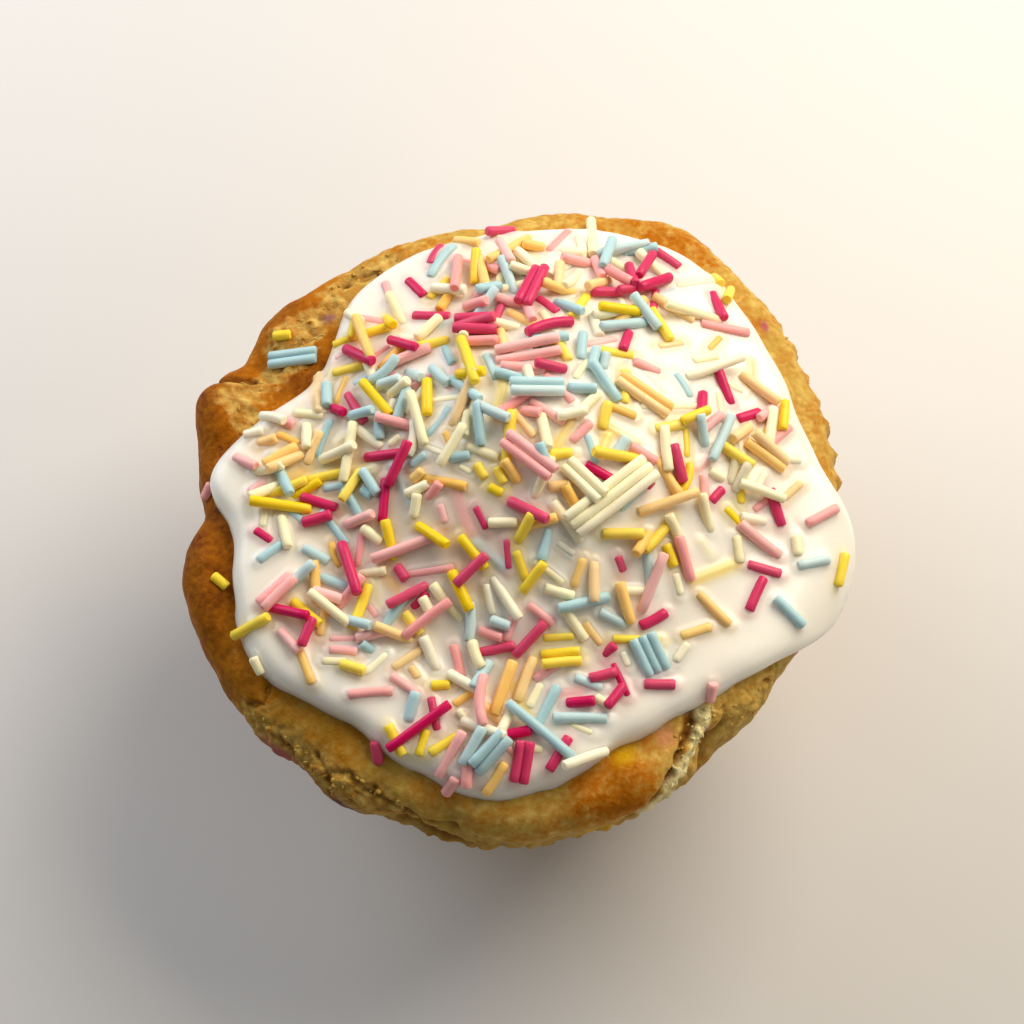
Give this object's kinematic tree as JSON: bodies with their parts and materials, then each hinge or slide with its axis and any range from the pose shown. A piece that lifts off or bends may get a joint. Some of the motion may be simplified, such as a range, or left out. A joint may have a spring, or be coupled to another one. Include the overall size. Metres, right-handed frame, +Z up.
{
  "type": "birthday cake",
  "caption": "Small uncut birthday cake: craggy golden sponge with a pleated side, poured white icing and coloured sugar strands",
  "frame": {"origin": "middle of the flat base that the cake stands on", "axes": "+Z up through the crown, +X the right side, -Y the front, as the picture shows them"},
  "size_m": [0.0798, 0.0808, 0.0521],
  "materials": {
    "sponge": "baked cake crumb with a golden brown crust, rough and porous, stained by coloured strands in the batter",
    "icing": "poured sugar icing, smooth and softly glossy, slightly translucent, with pressed sugar strands half sunk in it"
  },
  "bodies": {
    "root": {"sponge": "sponge", "icing": "icing"}
  },
  "joints": []
}
